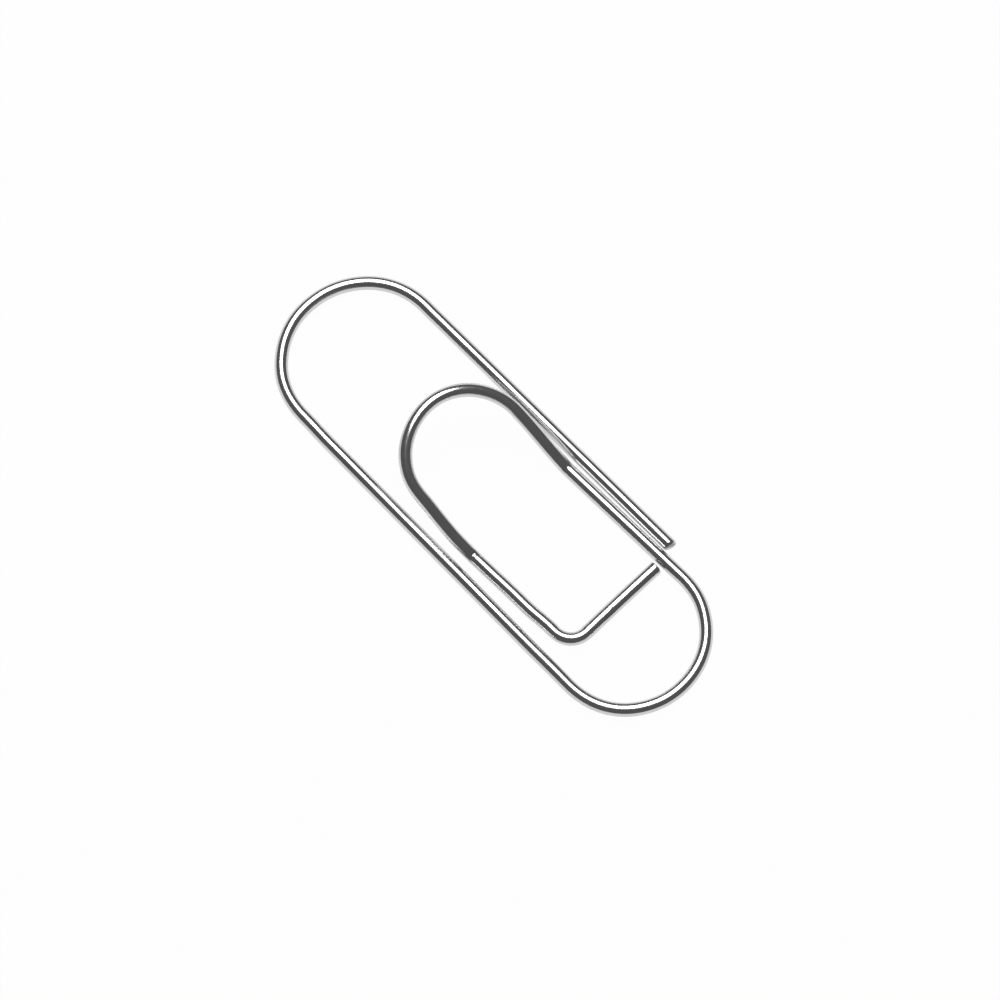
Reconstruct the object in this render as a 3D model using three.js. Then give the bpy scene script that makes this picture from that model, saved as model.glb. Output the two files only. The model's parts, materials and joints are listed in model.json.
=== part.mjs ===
// Wide paper clip with a lifted lip, bent from one length of bright round wire.
// Millimetres, +Z up. The clip lies flat with its length along X: the end bow is at +X and
// the big bow at -X. Lengths and radii are measured on the wire's own centre line.
//
// From one cut end to the other the wire runs: free leg, big bow, back leg, end bow,
// inner leg, lip bend, inner bow, lip bend, second leg, corner, cross leg.
// Lifting the tongue twists the end bow, so the wire is parted at the end bow's apex,
// face to face, into the outer loop and the tongue that turns on it.

import * as THREE from 'three';

// Wire
const wireDiameter = 1.25;

// Outer loop
const overallLength = 50;
const bigBowRadius = 7.53;
const endBowRadius = 7.1;
const freeLegLength = 31.15;
const freeLegClearance = 0.1; // air between the free leg and the inner leg beside it

// Tongue
const innerLegTilt = 2.45; // degrees between the tongue's legs and the clip's length
const innerLegLength = 21.23; // end bow to inner bow, along the wire and through the lip bend
const backLegClearance = 0.64; // air between the tongue's second leg and the back leg
const cornerRadius = 2.1;
const cornerTurn = 89; // degrees, so that the cross leg leans a little towards the end bow
const crossLegSetback = 2.4; // the corner's distance from the inner leg's end-bow end
const crossLegClearance = 0.3; // air between the cross leg's cut end and the inner leg

// Lifted lip
const lipBendFromEndBow = 14.35; // along the inner leg, from the end bow to the crease
const lipBendRadius = 2;
const lipAngle = 21; // degrees

// Sheared ends: the blade rolls the edge over where it comes in, on the shorter side
const freeLegCutLean = 5; // degrees from square, the longer side towards the tongue
const freeLegRolledEdge = 0.34;
const crossLegCutLean = 1; // degrees from square, the longer side towards the end bow
const crossLegRolledEdge = 0.24;
const brokenEdge = 0.05; // the nearly sharp edge opposite, where the wire broke away

// Facets
const sectionSides = 32; // a multiple of 4, so that the section has flats above and below
const bowStep = 5; // degrees from ring to ring round the bows
const cornerStep = 7.5; // degrees from ring to ring round the corner
const lipBendSteps = 6;
const cutEdgeSteps = 4;

// Values that follow from the driving dimensions
const degree = Math.PI / 180;
const wireRadius = wireDiameter / 2;
const tilt = innerLegTilt * degree;
const corner = cornerTurn * degree;
const lipRise = lipAngle * degree;
const bigBowCentre = new THREE.Vector2(wireRadius + bigBowRadius - overallLength / 2, 0);
const endBowCentre = new THREE.Vector2(overallLength / 2 - wireRadius - endBowRadius, 0);
const bowDistance = endBowCentre.x - bigBowCentre.x;
const apex = new THREE.Vector2(endBowCentre.x + endBowRadius, 0);

// The back leg is the straight line that touches both bows on the -Y side.
const backLegLean = Math.asin((bigBowRadius - endBowRadius) / bowDistance);
const backLegLength = bowDistance * Math.cos(backLegLean);
const backLegOutward = new THREE.Vector2(Math.sin(backLegLean), -Math.cos(backLegLean));

const innerLegAlong = new THREE.Vector2(-Math.cos(tilt), -Math.sin(tilt));
const innerLegAcross = new THREE.Vector2(Math.sin(tilt), -Math.cos(tilt)); // towards the second leg
const innerLegStart = endBowCentre.clone().addScaledVector(innerLegAcross, -endBowRadius);
const innerBowStart = innerLegStart.clone().addScaledVector(innerLegAlong, innerLegLength);
const innerLegAtCrease = innerLegStart.clone().addScaledVector(innerLegAlong, lipBendFromEndBow);

// The lip bend folds the tongue's flat outline about a line square to its legs. Stations of
// the fold are distances along the legs, from the end bow's centre.
const foldAxis = new THREE.Vector3(-innerLegAcross.x, -innerLegAcross.y, 0);
const foldStart = lipBendFromEndBow - lipBendRadius * Math.tan(lipRise / 2);
const foldLength = lipBendRadius * lipRise;
const foldStations = [];
for (let step = 0; step <= lipBendSteps; step += 1) {
  foldStations.push(foldStart + (foldLength * step) / lipBendSteps);
}

/** How far a point of the flat outline lies along the tongue's legs, from the end bow's centre. */
function alongLegs(x, y) {
  return (x - endBowCentre.x) * innerLegAlong.x + (y - endBowCentre.y) * innerLegAlong.y;
}

/**
 * The inner bow spans from the inner leg to the second leg, which keeps its clearance
 * from the back leg where it leaves the bow.
 */
function findInnerBowRadius() {
  const fromEndBow = innerBowStart.clone().sub(endBowCentre);
  const roomToBackLeg = endBowRadius - fromEndBow.dot(backLegOutward);
  const span = roomToBackLeg - wireDiameter - backLegClearance;
  return span / innerLegAcross.dot(backLegOutward) / 2;
}

/**
 * The free leg leaves the big bow at the smallest angle that keeps its clearance from the
 * inner leg, both at its own cut end and at the crease, where the inner leg lifts away.
 */
function findFreeLegSplay() {
  const pitch = wireDiameter + freeLegClearance;
  const reach = Math.hypot(bigBowRadius, freeLegLength);
  const drop = endBowRadius + pitch - bowDistance * Math.sin(tilt);
  const splayAtEnd = tilt + Math.asin(drop / reach) - Math.atan2(bigBowRadius, freeLegLength);
  const toCrease = innerLegAtCrease.clone().sub(bigBowCentre);
  const turnAtCrease = Math.acos((bigBowRadius - pitch) / toCrease.length());
  const splayAtCrease = turnAtCrease - Math.atan2(toCrease.x, toCrease.y);
  return Math.max(splayAtEnd, splayAtCrease);
}

const innerBowRadius = findInnerBowRadius();
const freeLegSplay = findFreeLegSplay();
const secondLegLength = innerLegLength - crossLegSetback - cornerRadius;
const crossLegSpan =
  2 * innerBowRadius - cornerRadius * (1 - Math.cos(corner)) - wireRadius - crossLegClearance;
const crossLegLength = crossLegSpan / Math.sin(corner);

/**
 * The wire's centre line before the lip is lifted: straight lines and arcs, end to end.
 * Straight stretches get a station wherever they pass one of the fold's.
 */
class FlatPath {
  constructor(start, heading, foldStops) {
    this.stations = [{ x: start.x, y: start.y, heading }];
    this.foldStops = foldStops;
  }

  last() {
    return this.stations[this.stations.length - 1];
  }

  line(length) {
    const { x, y, heading } = this.last();
    const stepX = Math.cos(heading);
    const stepY = Math.sin(heading);
    const start = alongLegs(x, y);
    const pace = alongLegs(x + stepX, y + stepY) - start;
    const stops = this.foldStops.map((stop) => (stop - start) / pace);
    const inside = stops.filter((distance) => distance > 0 && distance < length);
    inside.sort((first, second) => first - second);
    for (const distance of [...inside, length]) {
      this.stations.push({ x: x + distance * stepX, y: y + distance * stepY, heading });
    }
    return this;
  }

  /** An arc that turns left for a positive angle and right for a negative one. */
  arc(radius, turn, stepDegrees) {
    const { x, y, heading } = this.last();
    const side = Math.sign(turn);
    const centreX = x - side * radius * Math.sin(heading);
    const centreY = y + side * radius * Math.cos(heading);
    const steps = Math.ceil(Math.abs(turn) / (stepDegrees * degree));
    for (let step = 1; step <= steps; step += 1) {
      const turned = heading + (turn * step) / steps;
      this.stations.push({
        x: centreX + side * radius * Math.sin(turned),
        y: centreY - side * radius * Math.cos(turned),
        heading: turned,
      });
    }
    return this;
  }
}

/** How far the lip has turned up, and where a point of the flat outline goes when it is folded. */
function foldUp(x, y) {
  const reach = Math.max(0, alongLegs(x, y) - foldStart);
  const angle = Math.min(reach, foldLength) / lipBendRadius;
  const straight = Math.max(0, reach - foldLength);
  const drawn = lipBendRadius * Math.sin(angle) + straight * Math.cos(angle) - reach;
  return {
    angle,
    x: x + drawn * innerLegAlong.x,
    y: y + drawn * innerLegAlong.y,
    z: lipBendRadius * (1 - Math.cos(angle)) + straight * Math.sin(angle),
  };
}

/** Gives each station its place in space and the directions of its section. */
function placeSections(stations, lipIsLifted) {
  return stations.map(({ x, y, heading }) => {
    const fold = lipIsLifted ? foldUp(x, y) : { angle: 0, x, y, z: 0 };
    const turn = new THREE.Quaternion().setFromAxisAngle(foldAxis, fold.angle);
    return {
      centre: new THREE.Vector3(fold.x, fold.y, wireRadius + fold.z),
      along: new THREE.Vector3(Math.cos(heading), Math.sin(heading), 0).applyQuaternion(turn),
      across: new THREE.Vector3(-Math.sin(heading), Math.cos(heading), 0).applyQuaternion(turn),
      up: new THREE.Vector3(0, 0, 1).applyQuaternion(turn),
    };
  });
}

/**
 * One ring of the wire's section. Its flats lie on the wire's diameter. For each angle round the
 * wire, inset draws a corner in and advance pushes it along the wire.
 */
function sectionRing(section, inset = () => 0, advance = () => 0) {
  const ring = [];
  for (let side = 0; side < sectionSides; side += 1) {
    const angle = ((side + 0.5) * 2 * Math.PI) / sectionSides;
    const cornerDistance = (wireRadius - inset(angle)) / Math.cos(Math.PI / sectionSides);
    const across = cornerDistance * Math.cos(angle);
    ring.push(
      section.centre
        .clone()
        .addScaledVector(section.across, across)
        .addScaledVector(section.up, cornerDistance * Math.sin(angle))
        .addScaledVector(section.along, advance(angle, across)),
    );
  }
  return ring;
}

/**
 * The rings round a cut end's soft edge, from the full section to the leaning flat face. The
 * edge is widest on the side that across points to, where the blade came in.
 */
function cutEndRings(section, cutLean, rolledEdge) {
  const slope = -Math.tan(cutLean * degree);
  const edgeAt = (angle) => {
    const nearBlade = (1 + Math.cos(angle)) / 2;
    return brokenEdge + (rolledEdge - brokenEdge) * nearBlade ** 1.5;
  };
  const rings = [];
  for (let step = 0; step <= cutEdgeSteps; step += 1) {
    const turn = (step * Math.PI) / 2 / cutEdgeSteps;
    const inset = (angle) => edgeAt(angle) * (1 - Math.cos(turn));
    const advance = (angle, across) => edgeAt(angle) * (Math.sin(turn) - 1) + slope * across;
    rings.push(sectionRing(section, inset, advance));
  }
  return rings;
}

/** A closed body through rings of equal count, with a flat face on its first and last ring. */
function closedBody(rings) {
  const positions = [];
  for (const ring of rings) {
    for (const point of ring) {
      positions.push(point.x, point.y, point.z);
    }
  }
  const indices = [];
  for (let ring = 0; ring < rings.length - 1; ring += 1) {
    for (let side = 0; side < sectionSides; side += 1) {
      const near = ring * sectionSides + side;
      const nearNext = ring * sectionSides + ((side + 1) % sectionSides);
      const far = near + sectionSides;
      const farNext = nearNext + sectionSides;
      indices.push(near, nearNext, farNext);
      indices.push(near, farNext, far);
    }
  }
  const lastRing = (rings.length - 1) * sectionSides;
  for (let side = 1; side < sectionSides - 1; side += 1) {
    indices.push(0, side + 1, side);
    indices.push(lastRing, lastRing + side, lastRing + side + 1);
  }
  const geometry = new THREE.BufferGeometry();
  geometry.setAttribute('position', new THREE.Float32BufferAttribute(positions, 3));
  geometry.setIndex(indices);
  geometry.computeVertexNormals();
  return geometry;
}

/** Sweeps the wire from the flat parting face at the apex to its cut end. */
function sweepWire(path, { lipIsLifted, cutLean, rolledEdge }) {
  const sections = placeSections(path.stations, lipIsLifted);
  const cutEnd = sections.pop();
  const rings = sections.map((section) => sectionRing(section));
  return closedBody([...rings, ...cutEndRings(cutEnd, cutLean, rolledEdge)]);
}

const brightWire = new THREE.MeshStandardMaterial({
  name: 'bright_wire',
  color: 0xc9cacc,
  roughness: 0.16,
  metalness: 1,
});

/** From the apex: half the end bow, back leg, big bow, free leg. */
function makeOuterLoop() {
  const towardsBackLeg = -Math.PI / 2;
  const path = new FlatPath(apex, towardsBackLeg, [])
    .arc(endBowRadius, backLegLean - Math.PI / 2, bowStep)
    .line(backLegLength)
    .arc(bigBowRadius, freeLegSplay - backLegLean - Math.PI, bowStep)
    .line(freeLegLength);
  const wire = sweepWire(path, {
    lipIsLifted: false,
    cutLean: freeLegCutLean,
    rolledEdge: freeLegRolledEdge,
  });
  const mesh = new THREE.Mesh(wire, brightWire);
  mesh.name = 'outer_loop';
  return mesh;
}

/** From the apex: half the end bow, inner leg, lip with its bow, second leg, corner, cross leg. */
function makeTongue() {
  const towardsInnerLeg = Math.PI / 2;
  const path = new FlatPath(apex, towardsInnerLeg, foldStations)
    .arc(endBowRadius, Math.PI / 2 + tilt, bowStep)
    .line(innerLegLength)
    .arc(innerBowRadius, Math.PI, bowStep)
    .line(secondLegLength)
    .arc(cornerRadius, corner, cornerStep)
    .line(crossLegLength);
  const wire = sweepWire(path, {
    lipIsLifted: true,
    cutLean: crossLegCutLean,
    rolledEdge: crossLegRolledEdge,
  });
  const mesh = new THREE.Mesh(wire, brightWire);
  mesh.name = 'tongue';
  return mesh;
}

// The tongue turns about the wire's own centre line at the apex, which lies along Y there.
// A positive turn lifts the lip.
const tongueHinge = new THREE.Group();
tongueHinge.position.set(apex.x, apex.y, wireRadius);
const tongue = makeTongue();
tongue.position.copy(tongueHinge.position).negate();
tongueHinge.add(tongue);

const paperClip = new THREE.Group();
paperClip.add(makeOuterLoop(), tongueHinge);

// The origin is the middle of the clip's box, on the surface that it lies on.
const box = new THREE.Box3().setFromObject(paperClip);
const middle = box.getCenter(new THREE.Vector3());
paperClip.position.set(-middle.x, -middle.y, -box.min.z);

export default paperClip;
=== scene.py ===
"""Wide paper clip with a lifted lip, dressed as bright plated spring wire.

The clip is one unbroken length of drawn steel wire: free leg, big bow, back leg, end bow, inner
leg, lip, second leg, corner and cross leg. Its centre line is worked out here from the same bends
as the solid's, in metres. Three stretches of it carry the surface: the outer wire and the tongue
wire, which keep their shape, and the end bow between them, whose twist lets the real tongue
lift; here the bow is built in place and nothing makes it twist.
"""

import json
import logging
import math
from dataclasses import dataclass, field
from enum import IntEnum

import bpy
import numpy as np
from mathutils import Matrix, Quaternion, Vector


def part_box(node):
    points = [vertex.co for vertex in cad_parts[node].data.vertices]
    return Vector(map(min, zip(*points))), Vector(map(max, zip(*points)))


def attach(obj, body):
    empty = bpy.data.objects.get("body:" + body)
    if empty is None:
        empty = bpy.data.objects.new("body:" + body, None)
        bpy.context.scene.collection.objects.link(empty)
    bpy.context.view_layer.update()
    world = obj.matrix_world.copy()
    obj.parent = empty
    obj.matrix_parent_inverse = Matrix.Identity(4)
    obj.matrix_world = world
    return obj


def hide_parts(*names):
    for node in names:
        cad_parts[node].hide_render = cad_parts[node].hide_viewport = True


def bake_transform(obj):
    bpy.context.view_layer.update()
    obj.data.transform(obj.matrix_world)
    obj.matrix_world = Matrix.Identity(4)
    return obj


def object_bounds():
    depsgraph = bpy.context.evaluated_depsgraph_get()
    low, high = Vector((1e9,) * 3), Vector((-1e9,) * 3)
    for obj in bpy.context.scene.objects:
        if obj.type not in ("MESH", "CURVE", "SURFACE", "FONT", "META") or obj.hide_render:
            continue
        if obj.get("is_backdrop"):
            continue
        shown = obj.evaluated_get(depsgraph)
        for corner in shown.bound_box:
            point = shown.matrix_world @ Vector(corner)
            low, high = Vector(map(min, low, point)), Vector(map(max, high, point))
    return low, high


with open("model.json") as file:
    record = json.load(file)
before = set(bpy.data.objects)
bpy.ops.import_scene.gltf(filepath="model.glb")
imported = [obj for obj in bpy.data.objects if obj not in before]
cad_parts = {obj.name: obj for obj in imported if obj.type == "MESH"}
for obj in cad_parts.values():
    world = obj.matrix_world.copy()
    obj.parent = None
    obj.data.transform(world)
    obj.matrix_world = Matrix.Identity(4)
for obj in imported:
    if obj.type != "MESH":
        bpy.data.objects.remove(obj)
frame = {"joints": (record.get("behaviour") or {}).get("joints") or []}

MM = 0.001
MOST_TURN_PER_RING = math.radians(2.5)
UP = np.array([0.0, 0.0, 1.0])
WIRE_PLACE = "wire_place"
# A last step shorter than this share of the usual one is joined to the step before it
SHORTEST_LAST_STEP = 0.05
# Nearly all of a noise lies between these values
NOISE_RANGE = (0.3, 0.7)

log = logging.getLogger("paper_clip")


class Finish(IntEnum):
    """The finish of a face of the wire, in the order of a piece's materials."""

    PLATED = 0
    SHEARED = 1


class Outward(IntEnum):
    """The way in which the wire ends at a cut, along its runs."""

    TO_LOWER_RUNS = -1
    TO_HIGHER_RUNS = 1


@dataclass(frozen=True)
class ClipSizes:
    """The sizes that the wire is bent to, in metres and degrees, on the wire's own centre line.

    Distances along the wire are called runs. They count from the apex of the end bow: negative
    towards the free leg's cut end, positive towards the cross leg's. The free leg is as long as
    the photographed one, 0.15 mm longer than the solid's.
    """

    wire_diameter: float
    overall_length: float
    apex: Vector
    big_bow_radius: float = 7.53 * MM
    end_bow_radius: float = 7.1 * MM
    free_leg_length: float = 31.3 * MM
    free_leg_clearance: float = 0.1 * MM
    inner_leg_tilt: float = 2.45
    inner_leg_length: float = 21.23 * MM
    back_leg_clearance: float = 0.64 * MM
    corner_radius: float = 2.1 * MM
    corner_turn: float = 89.0
    cross_leg_setback: float = 2.4 * MM
    cross_leg_clearance: float = 0.3 * MM
    lip_bend_from_end_bow: float = 14.35 * MM
    lip_bend_radius: float = 2.0 * MM
    lip_angle: float = 21.0

    @classmethod
    def from_frame(cls) -> "ClipSizes":
        """Takes the wire's diameter, the length and the apex from the solid, the rest as bent.

        Returns:
            The sizes.
        """
        low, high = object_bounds()
        wire_low, wire_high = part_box("outer_loop")
        hinge = next(joint for joint in frame["joints"] if joint["name"] == "tongue_flex")
        return cls(
            wire_diameter=wire_high.z - wire_low.z,
            overall_length=high.x - low.x,
            apex=Vector(hinge["pos_m"]),
        )

    @property
    def wire_radius(self) -> float:
        """Half of the wire's diameter."""
        return self.wire_diameter / 2

    @property
    def bow_distance(self) -> float:
        """From the big bow's centre to the end bow's."""
        return self.overall_length - self.wire_diameter - self.big_bow_radius - self.end_bow_radius

    @property
    def end_bow_centre(self) -> Vector:
        """The end bow's centre, in plan."""
        return Vector((self.apex.x - self.end_bow_radius, self.apex.y))

    @property
    def big_bow_centre(self) -> Vector:
        """The big bow's centre, in plan."""
        return self.end_bow_centre - Vector((self.bow_distance, 0))

    @property
    def back_leg_lean(self) -> float:
        """How far the back leg turns from the clip's length to touch both bows, in radians."""
        return math.asin((self.big_bow_radius - self.end_bow_radius) / self.bow_distance)

    @property
    def tilt(self) -> float:
        """The tongue's tilt in radians."""
        return math.radians(self.inner_leg_tilt)

    @property
    def lip_rise(self) -> float:
        """The lip's angle in radians."""
        return math.radians(self.lip_angle)

    @property
    def legs_along(self) -> Vector:
        """The direction of the tongue's legs in plan, from the end bow to the lip."""
        return Vector((-math.cos(self.tilt), -math.sin(self.tilt)))

    @property
    def fold_start(self) -> float:
        """Where the lip bend starts, along the tongue's legs from the end bow's centre."""
        return self.lip_bend_from_end_bow - self.lip_bend_radius * math.tan(self.lip_rise / 2)

    @property
    def fold_length(self) -> float:
        """The lip bend's length along the wire's length."""
        return self.lip_bend_radius * self.lip_rise

    def inner_bow_radius(self) -> float:
        """Spans the inner bow from the inner leg to the second leg, clear of the back leg.

        Returns:
            Its radius, in metres.
        """
        across = Vector((math.sin(self.tilt), -math.cos(self.tilt)))
        outward = Vector((math.sin(self.back_leg_lean), -math.cos(self.back_leg_lean)))
        start = self.legs_along * self.inner_leg_length - across * self.end_bow_radius
        room = self.end_bow_radius - start.dot(outward)
        span = room - self.wire_diameter - self.back_leg_clearance
        return span / across.dot(outward) / 2

    def free_leg_splay(self) -> float:
        """Opens the free leg just enough to clear the inner leg, at its end and at the crease.

        Returns:
            The angle between the free leg and the clip's length, in radians.
        """
        pitch = self.wire_diameter + self.free_leg_clearance
        bow = self.big_bow_radius
        reach = math.hypot(bow, self.free_leg_length)
        drop = self.end_bow_radius + pitch - self.bow_distance * math.sin(self.tilt)
        at_end = self.tilt + math.asin(drop / reach) - math.atan2(bow, self.free_leg_length)
        outward = Vector((-math.sin(self.tilt), math.cos(self.tilt)))
        leg_start = self.end_bow_centre + outward * self.end_bow_radius
        crease = leg_start + self.legs_along * self.lip_bend_from_end_bow
        to_crease = crease - self.big_bow_centre
        turn = math.acos((bow - pitch) / to_crease.length)
        at_crease = turn - math.atan2(to_crease.x, to_crease.y)
        return max(at_end, at_crease)


@dataclass(frozen=True)
class Stretch:
    """A straight or evenly bent stretch of the flat wire, in plan.

    A turn above 0 bends to the left, one below 0 to the right, and 0 is straight.
    """

    start: tuple[float, float]
    heading: float
    length: float
    turn: float = 0.0

    def place(self, distance: np.ndarray) -> tuple[np.ndarray, np.ndarray, np.ndarray]:
        """Gives points along the stretch.

        Args:
            distance: how far along the stretch each point lies, in metres.

        Returns:
            The points' x and y, and the wire's heading there in radians.
        """
        turned = self.heading + self.turn * distance / self.length
        if not self.turn:
            x = self.start[0] + distance * math.cos(self.heading)
            y = self.start[1] + distance * math.sin(self.heading)
            return x, y, turned
        radius = self.length / self.turn
        x = self.start[0] + radius * (np.sin(turned) - math.sin(self.heading))
        y = self.start[1] - radius * (np.cos(turned) - math.cos(self.heading))
        return x, y, turned

    @property
    def curvature(self) -> float:
        """The turn per metre of wire."""
        return self.turn / self.length


class FlatRun:
    """Stretches of wire end to end, in plan, from the end bow's apex to a cut end."""

    def __init__(self, start: tuple[float, float], heading: float) -> None:
        """Starts the run at a point with a heading in radians."""
        self.stretches: list[Stretch] = []
        self._end = (start[0], start[1], heading)

    def _add(self, length: float, turn: float) -> "FlatRun":
        """Adds one stretch and moves the run's end to its far end.

        Args:
            length: the stretch's length, in metres.
            turn: its whole turn in radians, to the left if above 0.

        Returns:
            The run itself, to add the next stretch to.
        """
        x, y, heading = self._end
        stretch = Stretch((x, y), heading, length, turn)
        self.stretches.append(stretch)
        end_x, end_y, end_heading = stretch.place(np.array([length]))
        self._end = (float(end_x[0]), float(end_y[0]), float(end_heading[0]))
        return self

    def line(self, length: float) -> "FlatRun":
        """Adds a straight leg."""
        return self._add(length, 0.0)

    def arc(self, radius: float, turn: float) -> "FlatRun":
        """Adds a bow of a radius through an angle in radians, to the left if it is above 0."""
        return self._add(radius * abs(turn), turn)

    @property
    def length(self) -> float:
        """The whole run's length."""
        return sum(stretch.length for stretch in self.stretches)

    def ends(self) -> list[float]:
        """The distance at which each stretch ends."""
        return list(np.cumsum([stretch.length for stretch in self.stretches]))

    def place(self, distance: np.ndarray) -> tuple[np.ndarray, ...]:
        """Gives points along the run.

        Args:
            distance: distances from the apex, in metres.

        Returns:
            x, y, heading and curvature of each point.
        """
        ends = self.ends()
        index = np.searchsorted(ends[:-1], distance, side="left")
        found = [np.zeros(len(distance)) for _ in range(4)]
        for number, stretch in enumerate(self.stretches):
            here = index == number
            from_start = distance[here] - (ends[number] - stretch.length)
            for values, part in zip(found, stretch.place(from_start)):
                values[here] = part
            found[3][here] = stretch.curvature
        return tuple(found)


@dataclass(frozen=True)
class Stray:
    """A stretch where the wire strays from its ideal bend, to its left if above 0."""

    run: float
    offset: float
    half_length: float

    def at(self, run: np.ndarray) -> np.ndarray:
        """The stray's offset at each run, fading smoothly to nothing at its ends."""
        away = np.clip((run - self.run) / self.half_length, -1, 1)
        return self.offset * (1 + np.cos(math.pi * away)) / 2


STRAYS = (
    Stray(-65.0 * MM, -0.078 * MM, 5.0 * MM),
    Stray(-57.5 * MM, 0.030 * MM, 3.0 * MM),
    Stray(-49.5 * MM, -0.032 * MM, 2.4 * MM),
    Stray(-45.2 * MM, 0.072 * MM, 3.2 * MM),
    Stray(-12.0 * MM, 0.042 * MM, 4.5 * MM),
    Stray(-6.5 * MM, -0.064 * MM, 4.0 * MM),
    Stray(0.7 * MM, 0.053 * MM, 5.0 * MM),
    Stray(9.0 * MM, -0.028 * MM, 2.0 * MM),
    Stray(31.6 * MM, -0.110 * MM, 4.8 * MM),
    Stray(43.5 * MM, 0.035 * MM, 3.5 * MM),
    Stray(50.8 * MM, 0.100 * MM, 2.5 * MM),
    Stray(55.4 * MM, -0.100 * MM, 3.2 * MM),
    Stray(62.5 * MM, 0.030 * MM, 3.0 * MM),
    Stray(67.3 * MM, 0.125 * MM, 3.0 * MM),
    Stray(75.0 * MM, 0.038 * MM, 6.5 * MM),
)


@dataclass
class Places:
    """Places along the wire: each row is one, with the directions of its section."""

    run: np.ndarray
    centre: np.ndarray
    along: np.ndarray
    across: np.ndarray
    up: np.ndarray
    plan_bend: np.ndarray
    lip_bend: np.ndarray


class CentreLine:
    """The whole wire's centre line in space, with the lip lifted."""

    def __init__(self, sizes: ClipSizes) -> None:
        """Works the two runs out from the sizes.

        Args:
            sizes: what the wire is bent to.
        """
        self.sizes = sizes
        apex = (sizes.apex.x, sizes.apex.y)
        quarter = math.pi / 2
        inner_bow = sizes.inner_bow_radius()
        setback = sizes.cross_leg_setback + sizes.corner_radius
        corner = math.radians(sizes.corner_turn)
        clear = sizes.wire_radius + sizes.cross_leg_clearance
        cross_span = 2 * inner_bow - sizes.corner_radius * (1 - math.cos(corner)) - clear
        self.outer = (
            FlatRun(apex, -quarter)
            .arc(sizes.end_bow_radius, sizes.back_leg_lean - quarter)
            .line(sizes.bow_distance * math.cos(sizes.back_leg_lean))
            .arc(sizes.big_bow_radius, sizes.free_leg_splay() - sizes.back_leg_lean - math.pi)
            .line(sizes.free_leg_length)
        )
        self.tongue = (
            FlatRun(apex, quarter)
            .arc(sizes.end_bow_radius, quarter + sizes.tilt)
            .line(sizes.inner_leg_length)
            .arc(inner_bow, math.pi)
            .line(sizes.inner_leg_length - setback)
            .arc(sizes.corner_radius, corner)
            .line(cross_span / math.sin(corner))
        )

    @property
    def free_end(self) -> float:
        """The run at the free leg's cut end."""
        return -self.outer.length

    @property
    def cross_end(self) -> float:
        """The run at the cross leg's cut end."""
        return self.tongue.length

    @property
    def corner_end(self) -> float:
        """The run at which the corner ends and the cross leg starts."""
        return self.tongue.ends()[-2]

    def creases(self) -> tuple[float, float]:
        """Finds where the tongue's two legs cross the lip's crease.

        Returns:
            The inner leg's run there and the second leg's.
        """
        leg_start, bow_start, bow_end = self.tongue.ends()[:3]
        to_crease = self.sizes.lip_bend_from_end_bow
        return leg_start + to_crease, bow_start + bow_end - leg_start - to_crease

    def place(self, run: np.ndarray) -> Places:
        """Gives the wire's places at these runs.

        Args:
            run: distances along the wire from the apex, in metres.

        Returns:
            The places, with the lip's bend in them.
        """
        sizes = self.sizes
        outer = run < 0
        x, y, heading, bend = (np.zeros(len(run)) for _ in range(4))
        for mask, flat, sign in ((outer, self.outer, -1), (~outer, self.tongue, 1)):
            x[mask], y[mask], heading[mask], curve = flat.place(sign * run[mask])
            bend[mask] = sign * curve
        heading[outer] += math.pi
        legs = np.array([*sizes.legs_along, 0.0])
        from_bow = (x - sizes.end_bow_centre.x) * legs[0] + (y - sizes.end_bow_centre.y) * legs[1]
        reach = np.where(outer, 0, np.maximum(0, from_bow - sizes.fold_start))
        angle = np.minimum(reach, sizes.fold_length) / sizes.lip_bend_radius
        straight = np.maximum(0, reach - sizes.fold_length)
        drawn = sizes.lip_bend_radius * np.sin(angle) + straight * np.cos(angle) - reach
        rise = sizes.lip_bend_radius * (1 - np.cos(angle)) + straight * np.sin(angle)
        folding = (reach > 0) & (straight == 0)
        flat = np.stack([x, y, np.full(len(run), sizes.wire_radius)], 1)
        plan_along = np.stack([np.cos(heading), np.sin(heading), 0 * heading], 1)
        plan_across = np.stack([-np.sin(heading), np.cos(heading), 0 * heading], 1)
        across = tip_up(plan_across, legs, angle)
        strayed = sum(stray.at(run) for stray in STRAYS)
        return Places(
            run=run,
            centre=flat + drawn[:, None] * legs + rise[:, None] * UP + strayed[:, None] * across,
            along=tip_up(plan_along, legs, angle),
            across=across,
            up=tip_up(np.tile(UP, (len(run), 1)), legs, angle),
            plan_bend=bend,
            lip_bend=np.where(folding, 1 / sizes.lip_bend_radius, 0.0),
        )

    def runs(self, start: float, end: float, step: float, closer: list["Closer"]) -> np.ndarray:
        """Spaces the wire's rings out, closer together in tight bends and at marks.

        Args:
            start: the run of the first ring.
            end: the run of the last ring.
            step: the usual distance from ring to ring.
            closer: the places that need closer rings.

        Returns:
            The rings' runs, in order, with start and end among them.
        """
        found = [start]
        while found[-1] < end:
            here = np.array([found[-1]])
            place = self.place(here)
            bend = max(abs(place.plan_bend[0]), abs(place.lip_bend[0]))
            allowed = min(step, MOST_TURN_PER_RING / bend if bend else step)
            for spot in closer:
                allowed = min(allowed, spot.step_at(found[-1], step))
            found.append(found[-1] + allowed)
        found[-1] = end
        if found[-1] - found[-2] < step * SHORTEST_LAST_STEP:
            del found[-2]
        return np.array(found)


@dataclass(frozen=True)
class Closer:
    """A place along the wire whose rings lie closer together.

    growth is how much longer the steps become with each metre past the place.
    """

    run: float
    half_length: float
    step: float
    growth: float = 0.25

    def step_at(self, run: float, usual: float) -> float:
        """The distance to the next ring, growing back to the usual one past the place."""
        outside = max(0.0, abs(run - self.run) - self.half_length)
        return min(usual, self.step + outside * self.growth)


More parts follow.
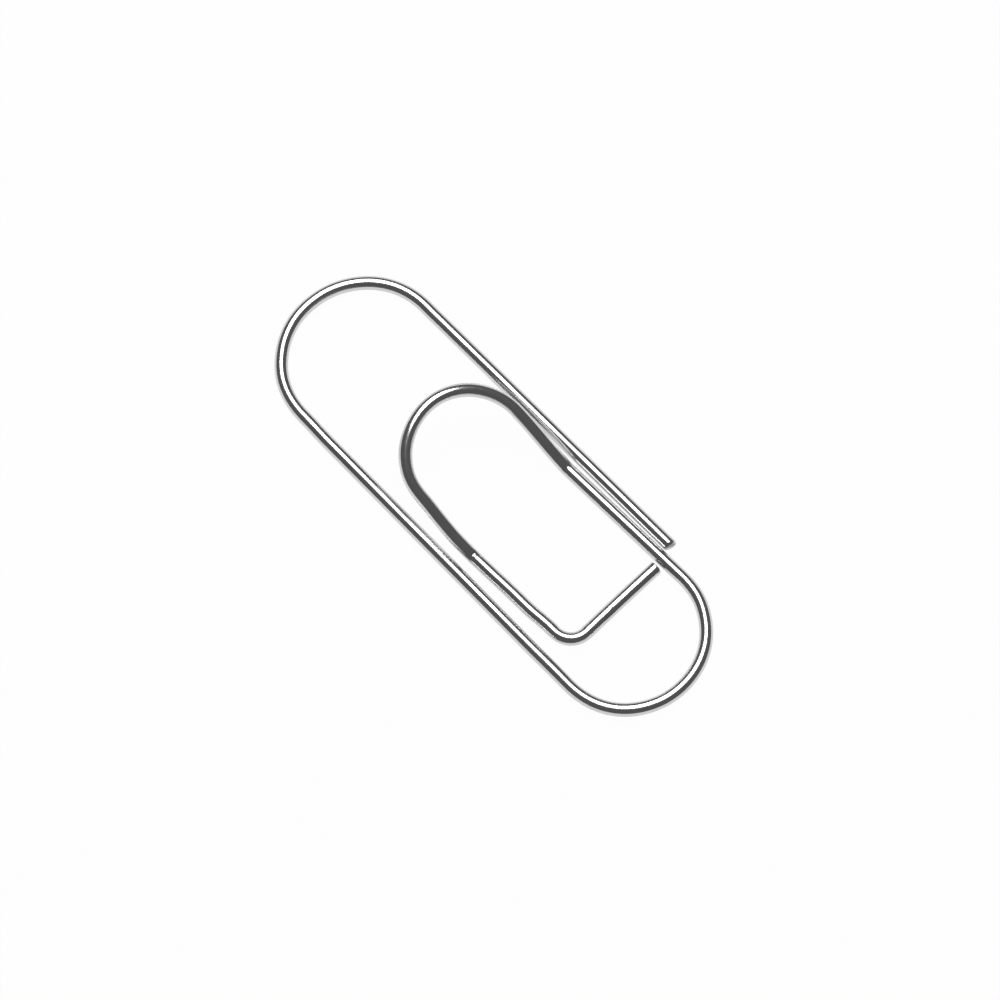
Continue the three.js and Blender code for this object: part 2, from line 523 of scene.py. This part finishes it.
def tip_up(directions: np.ndarray, forward: np.ndarray, angle: np.ndarray) -> np.ndarray:
    """Turns directions so that what points forward rises.

    Args:
        directions: one direction in each row.
        forward: a level direction.
        angle: the turn of each row, in radians.

    Returns:
        The turned directions.
    """
    ahead, rise = directions @ forward, directions @ UP
    cos, sin = np.cos(angle), np.sin(angle)
    ahead_change = ahead * cos - rise * sin - ahead
    rise_change = ahead * sin + rise * cos - rise
    return directions + ahead_change[:, None] * forward + rise_change[:, None] * UP


@dataclass(frozen=True)
class PressMark:
    """A shallow mark that a forming tool has pressed into the wire.

    side is the angle round the wire, in degrees: 0 is to the left of the run, 90 is up.
    """

    run: float
    side: float
    depth: float
    half_length: float
    half_width: float

    def sink(self, run: np.ndarray, side: np.ndarray) -> np.ndarray:
        """Works out how deep the mark is.

        Args:
            run: distances along the wire, in metres.
            side: angles round the wire, in radians.

        Returns:
            The depth at each place, in metres.
        """
        round_the_wire = (side - math.radians(self.side) + math.pi) % (2 * math.pi) - math.pi
        lengthwise = np.clip((run - self.run) / self.half_length, -1, 1)
        widthwise = np.clip(round_the_wire / math.radians(self.half_width), -1, 1)
        bowl = (1 - lengthwise**2) ** 2 * (1 - widthwise**2) ** 2
        return self.depth * bowl


@dataclass(frozen=True)
class CutEnd:
    """A sheared wire end: rolled over where the blade came in, nearly sharp where it broke away.

    lean is how far the cut leans from square, in degrees. lean_side is its longer side, and
    blade_side the side from which the blade came, both as angles round the wire in degrees. The
    innermost smeared_shade_rings of the edge have the finish of the face, so that its painted shade
    darkens their upper part over the rolled edge's own reflection. The plain wire ends some
    rolled edges before the cut, as many as edges_to_plain_wire says.
    """

    lean: float
    lean_side: float
    blade_side: float
    rolled_edge: float = 0.24 * MM
    broken_edge: float = 0.05 * MM
    rings: int = 8
    # rings of the rolled edge that take the face's painted shade and painted reflection
    smeared_shade_rings: int = 2
    face_rings: int = 5
    grain: float = 0.012 * MM
    grain_waves: int = 5
    grain_twist: float = 9.0
    edges_to_plain_wire: float = 1.5

    @property
    def depth(self) -> float:
        """How far from the cut the plain wire ends."""
        return self.rolled_edge * self.edges_to_plain_wire

    def edge(self, side: np.ndarray) -> np.ndarray:
        """The edge's radius round the wire."""
        nearness = (1 + np.cos(side - math.radians(self.blade_side))) / 2
        return self.broken_edge + (self.rolled_edge - self.broken_edge) * nearness


@dataclass
class WireStretch:
    """One stretch of the wire's surface, from a start run to an end run."""

    name: str
    line: CentreLine
    start: float
    end: float
    marks: list[PressMark] = field(default_factory=list)
    start_cut: CutEnd | None = None
    end_cut: CutEnd | None = None
    sides: int = 64
    ring_step: float = 0.3 * MM
    mark_step: float = 0.04 * MM
    bend_flattening: float = 0.14

    def side_angles(self) -> np.ndarray:
        """The angle of each vertex round a ring."""
        return np.arange(self.sides) * (2 * math.pi / self.sides)

    def ring(
        self,
        place: Places,
        inset: np.ndarray | float = 0.0,
        advance: np.ndarray | float = 0.0,
    ) -> np.ndarray:
        """The vertices of the rings at these places.

        Args:
            place: where the rings are.
            inset: how far the surface is drawn in, by ring or by ring and side.
            advance: how far it is pushed along the wire, by ring or by ring and side.

        Returns:
            An array of rings, sides and coordinates.
        """
        side = self.side_angles()[None, :]
        run = place.run[:, None]
        radius = self.line.sizes.wire_radius
        sunk = sum(mark.sink(run, side) for mark in self.marks) if self.marks else 0.0
        reach = radius - sunk - inset
        in_plan = 1 - self.bend_flattening * radius * np.abs(place.plan_bend)[:, None]
        in_rise = 1 - self.bend_flattening * radius * np.abs(place.lip_bend)[:, None]
        across = reach * in_plan * np.cos(side)
        up = reach * in_rise * np.sin(side)
        return (
            place.centre[:, None, :]
            + across[..., None] * place.across[:, None, :]
            + up[..., None] * place.up[:, None, :]
            + (np.zeros_like(across) + advance)[..., None] * place.along[:, None, :]
        )

    def cut_rings(self, run: float, cut: CutEnd, outward: Outward) -> np.ndarray:
        """The rings of a sheared end, from the full section to the middle of its face.

        Args:
            run: the run of the cut.
            cut: the end's shape.
            outward: the way in which the wire ends there.

        Returns:
            An array of rings, sides and coordinates.
        """
        side = self.side_angles()[None, :]
        place = self.line.place(np.array([run]))
        edge = cut.edge(side)
        radius = self.line.sizes.wire_radius
        lean = math.tan(math.radians(cut.lean)) * np.cos(side - math.radians(cut.lean_side))
        found = []
        for turn in np.linspace(0, math.pi / 2, cut.rings):
            inset = edge * (1 - math.cos(turn))
            back = edge * (math.sin(turn) - 1)
            advance = outward * (back + lean * (radius - inset))
            found.append(self.ring(place, inset, advance)[0])
        rim = radius - edge
        for share in np.linspace(1, 0, cut.face_rings + 1)[1:]:
            inset = radius - rim * share
            swell = 4 * share * (1 - share)
            waves = np.sin(side * cut.grain_waves + share * cut.grain_twist)
            grain = cut.grain * swell * waves
            advance = outward * (lean * rim * share + grain)
            found.append(self.ring(place, inset, advance)[0])
        return np.array(found[:-1])

    def build(self) -> bpy.types.Object:
        """Makes the stretch's mesh: one closed skin of quads, with its caps.

        Returns:
            The mesh object, in place.
        """
        closer = [Closer(mark.run, mark.half_length, self.mark_step) for mark in self.marks]
        start, end = self.start, self.end
        if self.start_cut:
            start += self.start_cut.depth
        if self.end_cut:
            end -= self.end_cut.depth
        runs = self.line.runs(start, end, self.ring_step, closer)
        body = self.ring(self.line.place(runs))
        rings = [body]
        ring_runs = [runs]
        face_rings = [0, 0]
        if self.start_cut:
            cut = self.cut_rings(self.start, self.start_cut, Outward.TO_LOWER_RUNS)[::-1]
            rings.insert(0, cut)
            ring_runs.insert(0, np.full(len(cut), self.start))
            face_rings[0] = self.start_cut.face_rings + self.start_cut.smeared_shade_rings
        if self.end_cut:
            cut = self.cut_rings(self.end, self.end_cut, Outward.TO_HIGHER_RUNS)
            rings.append(cut)
            ring_runs.append(np.full(len(cut), self.end))
            face_rings[1] = self.end_cut.face_rings + self.end_cut.smeared_shade_rings
        stack = np.concatenate(rings)
        all_runs = np.concatenate(ring_runs)
        return self._mesh(stack, all_runs, face_rings)

    def _mesh(
        self, rings: np.ndarray, runs: np.ndarray, face_rings: list[int]
    ) -> bpy.types.Object:
        """Joins rings into a closed mesh.

        Args:
            rings: an array of rings, sides and coordinates.
            runs: the run of each ring.
            face_rings: how many strips at the start and at the end lie on a sheared face.

        Returns:
            The mesh object.
        """
        count, sides, _ = rings.shape
        points = [tuple(point) for point in rings.reshape(-1, 3)]
        start_middle, end_middle = len(points), len(points) + 1
        points += [tuple(rings[0].mean(0)), tuple(rings[-1].mean(0))]
        faces: list[tuple[int, ...]] = []
        finish: list[Finish] = []
        for ring in range(count - 1):
            on_face = ring < face_rings[0] or ring >= count - 1 - face_rings[1]
            for side in range(sides):
                near = ring * sides + side
                near_next = ring * sides + (side + 1) % sides
                faces.append((near, near_next, near_next + sides, near + sides))
                finish.append(Finish.SHEARED if on_face else Finish.PLATED)
        last = (count - 1) * sides
        cap_finishes = [Finish.SHEARED if strips else Finish.PLATED for strips in face_rings]
        for side in range(sides):
            following = (side + 1) % sides
            faces.append((start_middle, following, side))
            faces.append((end_middle, last + side, last + following))
            finish += cap_finishes
        mesh = bpy.data.meshes.new(self.name)
        mesh.from_pydata(points, [], faces)
        mesh.polygons.foreach_set("material_index", finish)
        mesh.shade_smooth()
        self._mark_butted_rims(mesh, count, face_rings)
        self._store_places(mesh, runs)
        piece = bpy.data.objects.new(self.name, mesh)
        bpy.context.scene.collection.objects.link(piece)
        return piece

    def _mark_butted_rims(
        self, mesh: bpy.types.Mesh, count: int, face_rings: list[int]
    ) -> None:
        """Keeps a butted end's flat from bending the light on the wire beside it.

        Args:
            mesh: the stretch's mesh.
            count: how many rings it has.
            face_rings: how many strips at its start and at its end lie on a sheared face.
        """
        rims: set[int] = set()
        if not face_rings[0]:
            rims |= set(range(self.sides))
        if not face_rings[1]:
            rims |= set(range((count - 1) * self.sides, count * self.sides))
        for edge in mesh.edges:
            if edge.vertices[0] in rims and edge.vertices[1] in rims:
                edge.use_edge_sharp = True

    def _store_places(self, mesh: bpy.types.Mesh, runs: np.ndarray) -> None:
        """Writes each vertex's place on the wire: its side as a cosine and a sine, its run in mm.

        Args:
            mesh: the stretch's mesh.
            runs: the run of each ring, in metres.
        """
        side = self.side_angles()
        values = np.zeros((len(mesh.vertices), 3), np.float32)
        body = values[: len(runs) * self.sides].reshape(len(runs), self.sides, 3)
        body[..., 0] = np.cos(side)
        body[..., 1] = np.sin(side)
        body[..., 2] = runs[:, None] / MM
        values[-2, 2] = runs[0] / MM
        values[-1, 2] = runs[-1] / MM
        attribute = mesh.attributes.new(WIRE_PLACE, "FLOAT_VECTOR", "POINT")
        attribute.data.foreach_set("vector", values.ravel())


@dataclass(frozen=True)
class Grain:
    """How fine a noise is: its grains per unit, and how much finer detail lies on them.

    across counts in the first two directions of the coordinates, along in the third.
    """

    across: float
    along: float
    detail: float

    @property
    def stretch(self) -> tuple[float, float, float]:
        """The grains per unit in each direction."""
        return self.across, self.across, self.along


class Nodes:
    """A short way to lay shader nodes and link them."""

    def __init__(self, tree: bpy.types.NodeTree) -> None:
        """Clears the tree."""
        self.tree = tree
        tree.nodes.clear()

    def add(self, kind: str, settings: dict | None = None, **inputs: object) -> bpy.types.Node:
        """Adds a node.

        Args:
            kind: the node's type name.
            settings: its properties.
            inputs: values or output sockets for its inputs, by name with _ for a space.

        Returns:
            The node.
        """
        node = self.tree.nodes.new(kind)
        for name, value in (settings or {}).items():
            setattr(node, name, value)
        for name, value in inputs.items():
            socket = node.inputs[name.replace("_", " ")]
            if isinstance(value, bpy.types.NodeSocket):
                self.tree.links.new(value, socket)
            else:
                socket.default_value = value
        return node

    def math(
        self, operation: str, first: bpy.types.NodeSocket, second: bpy.types.NodeSocket | float
    ) -> bpy.types.NodeSocket:
        """Works one value out from two.

        Args:
            operation: the math node's operation.
            first: the first value.
            second: the second value, a socket or a number.

        Returns:
            The result.
        """
        node = self.add("ShaderNodeMath", {"operation": operation})
        self.tree.links.new(first, node.inputs[0])
        if isinstance(second, bpy.types.NodeSocket):
            self.tree.links.new(second, node.inputs[1])
        else:
            node.inputs[1].default_value = second
        return node.outputs["Value"]

    def remap(self, value: bpy.types.NodeSocket, low: float, high: float) -> bpy.types.NodeSocket:
        """Stretches a noise, which stays near 0.5, over a range of values.

        Args:
            value: the noise.
            low: what its low values become.
            high: what its high values become.

        Returns:
            The stretched noise.
        """
        node = self.add(
            "ShaderNodeMapRange",
            Value=value,
            From_Min=NOISE_RANGE[0],
            From_Max=NOISE_RANGE[1],
            To_Min=low,
            To_Max=high,
        )
        return node.outputs["Result"]

    def noise(self, vector: bpy.types.NodeSocket, grain: Grain) -> bpy.types.NodeSocket:
        """A noise whose grain is set in each direction of a vector.

        Args:
            vector: the coordinates.
            grain: how fine it is.

        Returns:
            The noise, about 0.5.
        """
        mapping = self.add("ShaderNodeMapping", Vector=vector, Scale=grain.stretch)
        node = self.add(
            "ShaderNodeTexNoise", Vector=mapping.outputs["Vector"], Scale=1.0, Detail=grain.detail
        )
        return node.outputs["Fac"]


@dataclass(frozen=True)
class BrightPlating:
    """Bright plate over drawn wire, with fine lines along it left by the drawing die."""

    name: str = "bright_plating"
    color: tuple[float, float, float] = (0.79, 0.79, 0.80)
    dulled_color: tuple[float, float, float] = (0.74, 0.74, 0.745)
    roughness: tuple[float, float] = (0.13, 0.18)
    line_height: float = 0.0001 * MM
    ripple_height: float = 0.0009 * MM
    drawing_lines: Grain = Grain(across=9.0, along=0.09, detail=1.5)
    ripple: Grain = Grain(across=1.3, along=0.8, detail=1.0)
    clouds: Grain = Grain(across=1.6, along=0.35, detail=4.0)
    handling: Grain = Grain(across=5.0, along=2.2, detail=5.0)

    def make(self) -> bpy.types.Material:
        """Builds the material.

        Returns:
            The material.
        """
        material = bpy.data.materials.new(self.name)
        material.use_nodes = True
        nodes = Nodes(material.node_tree)
        place = nodes.add("ShaderNodeAttribute", {"attribute_name": WIRE_PLACE}).outputs["Vector"]
        lines = nodes.noise(place, self.drawing_lines)
        ripple = nodes.noise(place, self.ripple)
        clouds = nodes.noise(place, self.clouds)
        handling = nodes.noise(place, self.handling)
        drawn = nodes.add(
            "ShaderNodeBump", Height=lines, Strength=1.0, Distance=self.line_height
        ).outputs["Normal"]
        surface = nodes.add(
            "ShaderNodeBump",
            Height=ripple,
            Strength=1.0,
            Distance=self.ripple_height,
            Normal=drawn,
        ).outputs["Normal"]
        low, high = self.roughness
        rough = nodes.math(
            "ADD", nodes.remap(handling, low, high), nodes.remap(lines, 0.0, high - low)
        )
        color = nodes.add(
            "ShaderNodeMix",
            {"data_type": "RGBA"},
            Factor=nodes.remap(clouds, 0.0, 1.0),
        )
        color.inputs["A"].default_value = (*self.color, 1)
        color.inputs["B"].default_value = (*self.dulled_color, 1)
        shader = nodes.add(
            "ShaderNodeBsdfPrincipled",
            Metallic=1.0,
            Base_Color=color.outputs["Result"],
            Roughness=rough,
            Normal=surface,
        )
        nodes.add("ShaderNodeOutputMaterial", Surface=shader.outputs["BSDF"])
        return material


@dataclass(frozen=True)
class ShearedSteel:
    """Bare steel on a sheared face, with painted light: a dark smeared band above, darkened as
    painted shade, and a bright torn one below, lightened as a painted reflection of the white
    table.

    band is where the first begins to give way and where it ends, as heights over the wire's
    middle in wire radii. torn_share is how much of the torn steel's colour its grain lets through.
    """

    name: str = "sheared_steel_painted_light"
    # Painted shade: darker than bare steel, for the smeared band at the top of the face
    smeared_shade_color: tuple[float, float, float] = (0.36, 0.355, 0.35)
    # Painted reflection of the white table: the light torn band at the bottom of the face
    torn_reflection_color: tuple[float, float, float] = (0.80, 0.795, 0.79)
    band: tuple[float, float] = (0.35, -0.25)
    torn_share: tuple[float, float] = (0.8, 1.0)
    roughness: tuple[float, float] = (0.26, 0.42)
    grain_height: float = 0.004 * MM
    grain: Grain = Grain(across=9000.0, along=2700.0, detail=4.0)

    def make(self) -> bpy.types.Material:
        """Builds the material.

        Returns:
            The material.
        """
        material = bpy.data.materials.new(self.name)
        material.use_nodes = True
        nodes = Nodes(material.node_tree)
        place = nodes.add("ShaderNodeTexCoord").outputs["Object"]
        torn = nodes.noise(place, self.grain)
        round_wire = nodes.add("ShaderNodeAttribute", {"attribute_name": WIRE_PLACE})
        height = nodes.add("ShaderNodeSeparateXYZ", Vector=round_wire.outputs["Vector"])
        # Painted light: the face goes from painted shade at the top to a painted reflection at the
        # bottom, by height round the wire
        reflection_below = nodes.add(
            "ShaderNodeMapRange",
            Value=height.outputs["Y"],
            From_Min=self.band[0],
            From_Max=self.band[1],
        )
        share = nodes.math("MULTIPLY", reflection_below.outputs["Result"], nodes.remap(torn, *self.torn_share))
        color = nodes.add("ShaderNodeMix", {"data_type": "RGBA"}, Factor=share)
        color.inputs["A"].default_value = (*self.smeared_shade_color, 1)
        color.inputs["B"].default_value = (*self.torn_reflection_color, 1)
        bump = nodes.add("ShaderNodeBump", Height=torn, Strength=1.0, Distance=self.grain_height)
        shader = nodes.add(
            "ShaderNodeBsdfPrincipled",
            Metallic=1.0,
            Base_Color=color.outputs["Result"],
            Roughness=nodes.remap(torn, *self.roughness),
            Normal=bump.outputs["Normal"],
        )
        nodes.add("ShaderNodeOutputMaterial", Surface=shader.outputs["BSDF"])
        return material


@dataclass(frozen=True)
class WhiteTable:
    """Plain white table top, which looks white from everywhere and keeps the clip's shadow.

    seen_white and reflected_white are its shares of plain white, seen directly and in the wire.
    """

    name: str = "white_table"
    color: tuple[float, float, float] = (0.9, 0.9, 0.9)
    seen_white: float = 0.975
    reflected_white: float = 0.6

    def make(self) -> bpy.types.Material:
        """Builds the material.

        Returns:
            The material.
        """
        material = bpy.data.materials.new(self.name)
        material.use_nodes = True
        nodes = Nodes(material.node_tree)
        paths = nodes.add("ShaderNodeLightPath").outputs
        seen = nodes.math("MAXIMUM", paths["Is Camera Ray"], paths["Is Transmission Ray"])
        share = nodes.math(
            "MAXIMUM",
            nodes.math("MULTIPLY", seen, self.seen_white),
            nodes.math("MULTIPLY", paths["Is Glossy Ray"], self.reflected_white),
        )
        paint = nodes.add("ShaderNodeBsdfDiffuse", Color=(*self.color, 1))
        white = nodes.add("ShaderNodeEmission", Color=(1, 1, 1, 1), Strength=1.0)
        mix = nodes.add("ShaderNodeMixShader", Fac=share)
        nodes.tree.links.new(paint.outputs["BSDF"], mix.inputs[1])
        nodes.tree.links.new(white.outputs["Emission"], mix.inputs[2])
        nodes.add("ShaderNodeOutputMaterial", Surface=mix.outputs["Shader"])
        return material


@dataclass
class WireParts:
    """What every dressed stretch of the wire shares."""

    line: CentreLine
    plating: bpy.types.Material
    sheared: bpy.types.Material

    def dress(self, piece: bpy.types.Object) -> bpy.types.Object:
        """Gives a piece its two finishes, in the order of Finish.

        Args:
            piece: a stretch of the wire.

        Returns:
            The same piece.
        """
        piece.data.materials.append(self.plating)
        piece.data.materials.append(self.sheared)
        return piece

    def report(self, piece: bpy.types.Object, what: str) -> None:
        """Logs one finished piece."""
        log.info("%s: %s, %d faces", piece.name, what, len(piece.data.polygons))


@dataclass
class Butts:
    """Where the end bow meets the straight legs, past its own ends."""

    line: CentreLine
    onto_leg: float = 0.6 * MM

    @property
    def back_leg(self) -> float:
        """The run of the butt on the back leg."""
        return -(self.line.outer.ends()[0] + self.onto_leg)

    @property
    def inner_leg(self) -> float:
        """The run of the butt on the inner leg."""
        return self.line.tongue.ends()[0] + self.onto_leg


@dataclass
class OuterWire:
    """Free leg, big bow and back leg, which lie flat and stay at rest.

    The free leg's cut leans as the photographed one does. The solid's is nearly square.
    """

    parts: WireParts
    butts: Butts
    cut: CutEnd = CutEnd(lean=18.0, lean_side=180.0, blade_side=135.0, rolled_edge=0.42 * MM)

    def build(self) -> bpy.types.Object:
        """Makes the outer wire, from its cut end to the butt on the back leg.

        Returns:
            The piece.
        """
        line = self.parts.line
        stretch = WireStretch(
            name="outer_wire",
            line=line,
            start=line.free_end,
            end=self.butts.back_leg,
            start_cut=self.cut,
        )
        piece = self.parts.dress(stretch.build())
        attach(piece, "outer_loop")
        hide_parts("outer_loop")
        self.parts.report(piece, "free leg, big bow and back leg")
        return piece


@dataclass
class EndBow:
    """The bow whose twist lets the tongue lift."""

    parts: WireParts
    butts: Butts

    def build(self) -> bpy.types.Object:
        """Makes the bow in place, from the back leg's side to the inner leg's, and hides the
        solid's outer loop and tongue.

        Returns:
            The piece.
        """
        line = self.parts.line
        stretch = WireStretch(
            name="end_bow_wire",
            line=line,
            start=self.butts.back_leg,
            end=self.butts.inner_leg,
        )
        piece = self.parts.dress(stretch.build())
        start, end = line.place(np.array([self.butts.back_leg, self.butts.inner_leg])).centre
        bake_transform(piece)
        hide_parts("outer_loop", "tongue")
        self.parts.report(piece, "the end bow, which twists")
        return piece


@dataclass
class TongueWire:
    """Inner leg, lifted lip, second leg, corner and cross leg, which move as one."""

    parts: WireParts
    butts: Butts
    cut: CutEnd = CutEnd(lean=1.0, lean_side=180.0, blade_side=180.0)

    def marks(self) -> list[PressMark]:
        """Places the lip press's marks at both creases, and a small nick on the cross leg.

        Returns:
            The marks.
        """
        inner, second = self.parts.line.creases()
        corner_end = self.parts.line.corner_end
        return [
            PressMark(inner + 0.12 * MM, 90, 0.008 * MM, 0.25 * MM, 60),
            PressMark(second - 0.42 * MM, 90, 0.06 * MM, 0.34 * MM, 60),
            PressMark(second - 0.1 * MM, 90, 0.01 * MM, 0.09 * MM, 60),
            PressMark(corner_end + 3.1 * MM, 112, 0.02 * MM, 0.4 * MM, 35),
        ]

    def build(self) -> bpy.types.Object:
        """Makes the tongue wire, from the butt on the inner leg to its cut end.

        Returns:
            The piece.
        """
        line = self.parts.line
        stretch = WireStretch(
            name="tongue_wire",
            line=line,
            start=self.butts.inner_leg,
            end=line.cross_end,
            marks=self.marks(),
            end_cut=self.cut,
        )
        piece = self.parts.dress(stretch.build())
        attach(piece, "tongue")
        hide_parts("tongue")
        self.parts.report(piece, "inner leg, lip, second leg, corner and cross leg")
        return piece


def direction(azimuth: float, elevation: float) -> Vector:
    """The direction from the clip to something round it.

    Args:
        azimuth: in degrees, 0 towards -Y and 90 towards +X.
        elevation: in degrees above the table.

    Returns:
        A unit vector.
    """
    turn, rise = math.radians(azimuth), math.radians(elevation)
    flat = math.cos(rise)
    return Vector((math.sin(turn) * flat, -math.cos(turn) * flat, math.sin(rise)))


@dataclass
class PhotoCamera:
    """The camera of the photograph: nearly overhead, through a long lens."""

    azimuth: float = 47.3
    elevation: float = 72.5
    distance: float = 0.5924
    lens: float = 240.0
    sensor: float = 36.0
    nearest: float = 0.01
    farthest: float = 10.0
    aim: Vector = field(default_factory=lambda: Vector((0.762, -0.283, 0.625)) * MM)

    def build(self) -> bpy.types.Object:
        """Makes the camera and gives it to the scene.

        Returns:
            The camera.
        """
        data = bpy.data.cameras.new("photo_camera")
        data.lens = self.lens
        data.sensor_width = self.sensor
        data.clip_start = self.nearest
        data.clip_end = self.farthest
        camera = bpy.data.objects.new("photo_camera", data)
        back = direction(self.azimuth, self.elevation)
        camera.location = self.aim + back * self.distance
        camera.rotation_mode = "QUATERNION"
        camera.rotation_quaternion = (-back).to_track_quat("-Z", "Y")
        bpy.context.scene.collection.objects.link(camera)
        bpy.context.scene.camera = camera
        log.info("camera at %.0f mm", self.distance / MM)
        return camera


@dataclass
class Softbox:
    """One big oval soft light overhead, on the far side from the camera."""

    azimuth: float = 232.5
    elevation: float = 66.0
    distance: float = 1.0
    half_height_angle: float = 24.0
    half_width_angle: float = 19.0
    roll: float = 16.0
    brightness: float = 4.2

    def build(self) -> bpy.types.Object:
        """Makes the light, facing the clip.

        Returns:
            The light.
        """
        data = bpy.data.lights.new("softbox", "AREA")
        data.shape = "ELLIPSE"
        data.size = 2 * self.distance * math.tan(math.radians(self.half_width_angle))
        data.size_y = 2 * self.distance * math.tan(math.radians(self.half_height_angle))
        area = math.pi / 4 * data.size * data.size_y
        data.energy = math.pi * area * self.brightness
        lamp = bpy.data.objects.new("softbox", data)
        back = direction(self.azimuth, self.elevation)
        lamp.location = back * self.distance
        turn = Quaternion((0, 0, 1), math.radians(self.roll))
        lamp.rotation_mode = "QUATERNION"
        lamp.rotation_quaternion = (-back).to_track_quat("-Z", "Y") @ turn
        lamp.visible_camera = False
        bpy.context.scene.collection.objects.link(lamp)
        log.info("softbox of %.2f by %.2f m", data.size, data.size_y)
        return lamp


@dataclass
class Studio:
    """A plain white table in a dim room."""

    table_radius: float = 1.6
    table_sides: int = 96
    room_color: tuple[float, float, float] = (0.094, 0.094, 0.094)

    def build(self) -> None:
        """Makes the table top and the room's dim light."""
        self._table()
        self._room()

    def _table(self) -> None:
        """A round table top at the height that the clip lies on."""
        mesh = bpy.data.meshes.new("table")
        turn = 2 * math.pi / self.table_sides
        rim = [
            (self.table_radius * math.cos(i * turn), self.table_radius * math.sin(i * turn), 0)
            for i in range(self.table_sides)
        ]
        mesh.from_pydata(rim, [], [tuple(range(self.table_sides))])
        mesh.materials.append(WhiteTable().make())
        table = bpy.data.objects.new("table", mesh)
        bpy.context.scene.collection.objects.link(table)
        table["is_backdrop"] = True
        log.info("table of %.1f m across", 2 * self.table_radius)

    def _room(self) -> None:
        """The dim grey room all round, which the camera sees as white."""
        world = bpy.data.worlds.new("dim_room")
        world.use_nodes = True
        nodes = Nodes(world.node_tree)
        paths = nodes.add("ShaderNodeLightPath").outputs
        seen = nodes.math("MAXIMUM", paths["Is Camera Ray"], paths["Is Transmission Ray"])
        color = nodes.add("ShaderNodeMix", {"data_type": "RGBA"}, Factor=seen)
        color.inputs["A"].default_value = (*self.room_color, 1)
        color.inputs["B"].default_value = (1, 1, 1, 1)
        room = nodes.add("ShaderNodeBackground", Color=color.outputs["Result"], Strength=1.0)
        nodes.add("ShaderNodeOutputWorld", Surface=room.outputs["Background"])
        bpy.context.scene.world = world
        bpy.context.scene.view_settings.view_transform = "Standard"


def main() -> None:
    """Builds the clip and its studio, piece by piece."""
    logging.basicConfig(level=logging.INFO, format="%(name)s: %(message)s")
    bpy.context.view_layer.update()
    line = CentreLine(ClipSizes.from_frame())
    log.info("wire length %.1f mm", (line.cross_end - line.free_end) / MM)
    PhotoCamera().build()
    parts = WireParts(line, BrightPlating().make(), ShearedSteel().make())
    butts = Butts(line)
    OuterWire(parts, butts).build()
    EndBow(parts, butts).build()
    TongueWire(parts, butts).build()
    Softbox().build()
    Studio().build()


if __name__ == "__main__":
    main()
